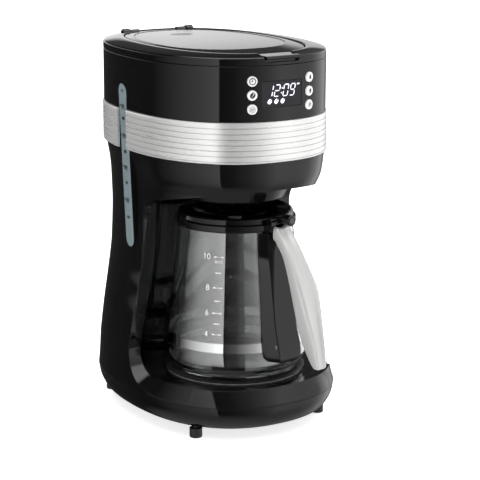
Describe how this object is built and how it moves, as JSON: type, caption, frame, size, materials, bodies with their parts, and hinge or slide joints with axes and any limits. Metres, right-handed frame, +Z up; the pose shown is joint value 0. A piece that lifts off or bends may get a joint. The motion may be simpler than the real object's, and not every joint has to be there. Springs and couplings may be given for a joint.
{
  "type": "drip coffee maker",
  "caption": "Countertop drip coffee maker: waisted black housing, hinged lid, push-button panel, side water gauge and a glass carafe with handle.",
  "frame": {"origin": "centre of the bounding box's footprint, on the surface the feet stand on", "axes": "+Z up, -Y out of the front where the carafe slides out, +X to the right seen from the front"},
  "size_m": [0.2136, 0.3038, 0.374],
  "materials": {
    "gloss_black": "high gloss moulding",
    "matt_black": "fine satin moulding",
    "rubber": "matt",
    "band_metal": "satin, ribbed",
    "brushed_insert": "brushed along the length",
    "steel": "plain",
    "heater_aluminium": "cast",
    "plate_coating": "non-stick coating",
    "silicone": "translucent silicone",
    "white_plastic": "plain",
    "button_white": "satin with printed signs",
    "display": "smoked window, lit figures",
    "board": "solder mask",
    "gauge_smoke": "smoky translucent",
    "carafe_glass": "clear",
    "silver_paint": "silver paint"
  },
  "bodies": {
    "machine": {"main_housing": "gloss_black", "base_pan": "gloss_black", "top_cover": "gloss_black", "inner_deck": "matt_black", "cord_gland": "matt_black", "brew_funnel": "matt_black", "filter_basket": "matt_black", "water_tank": "matt_black", "spout": "matt_black", "thermostat": "matt_black", "display_module": "matt_black", "foot_front_left": "rubber", "foot_front_right": "rubber", "foot_rear_left": "rubber", "foot_rear_right": "rubber", "decor_band": "band_metal", "hinge_pin_left": "steel", "hinge_pin_right": "steel", "mesh_filter": "steel", "valve_spring": "steel", "heater_clamp": "steel", "base_screw_front_left": "steel", "base_screw_front_right": "steel", "base_screw_rear_left": "steel", "base_screw_rear_right": "steel", "heater_ring": "heater_aluminium", "warming_plate": "plate_coating", "plate_seal": "silicone", "inlet_hose": "silicone", "outlet_hose": "silicone", "riser_pipe": "white_plastic", "thermal_fuse": "white_plastic", "check_valve": "white_plastic", "display_window": "display", "control_board": "board", "water_gauge": "gauge_smoke"},
    "lid": {"lid_frame": "gloss_black", "lid_insert": "brushed_insert", "shower_head": "matt_black"},
    "carafe": {"carafe_glass": "carafe_glass", "carafe_collar": "gloss_black", "carafe_hinge_pin": "steel", "handle_shell": "silver_paint", "handle_strap": "gloss_black", "strap_screw": "steel"},
    "carafe_lid": {"carafe_lid": "gloss_black", "thumb_lever": "gloss_black"},
    "drip_valve": {"valve_plunger": "white_plastic", "valve_seal": "silicone"},
    "button_clock": {"button_clock": "button_white"},
    "button_brew": {"button_brew": "button_white"},
    "button_strength": {"button_strength": "button_white"},
    "button_up": {"button_up": "button_white"},
    "button_down": {"button_down": "button_white"},
    "button_power": {"button_power": "button_white"}
  },
  "joints": [
    {"name": "lid_hinge", "type": "hinge", "parent": "machine", "child": "lid", "pos_m": [0, 0.13183, 0.369], "axis": [-1, 0, 0], "range_deg": [0, 95]},
    {"name": "carafe_pull_out", "type": "slide", "parent": "machine", "child": "carafe", "axis": [0, -1, 0], "range_m": [0, 0.2]},
    {"name": "carafe_lid_hinge", "type": "hinge", "parent": "carafe", "child": "carafe_lid", "pos_m": [0.00877, -0.08506, 0.209], "axis": [0.9903, 0.1392, 0], "range_deg": [0, 5]},
    {"name": "drip_valve_lift", "type": "slide", "parent": "machine", "child": "drip_valve", "axis": [0, 0, 1], "range_m": [0, 0.003], "stiffness_N_per_m": 250, "deforming": ["valve_spring"]},
    {"name": "press_clock", "type": "slide", "parent": "machine", "child": "button_clock", "axis": [0.3014, 0.9535, 0], "range_m": [0, 0.0008], "stiffness_N_per_m": 600},
    {"name": "press_brew", "type": "slide", "parent": "machine", "child": "button_brew", "axis": [0.3014, 0.9535, 0], "range_m": [0, 0.0008], "stiffness_N_per_m": 600},
    {"name": "press_strength", "type": "slide", "parent": "machine", "child": "button_strength", "axis": [0.3014, 0.9535, 0], "range_m": [0, 0.0008], "stiffness_N_per_m": 600},
    {"name": "press_up", "type": "slide", "parent": "machine", "child": "button_up", "axis": [-0.3014, 0.9535, 0], "range_m": [0, 0.0008], "stiffness_N_per_m": 600},
    {"name": "press_down", "type": "slide", "parent": "machine", "child": "button_down", "axis": [-0.3014, 0.9535, 0], "range_m": [0, 0.0008], "stiffness_N_per_m": 600},
    {"name": "press_power", "type": "slide", "parent": "machine", "child": "button_power", "axis": [-0.3014, 0.9535, 0], "range_m": [0, 0.0008], "stiffness_N_per_m": 600}
  ]
}
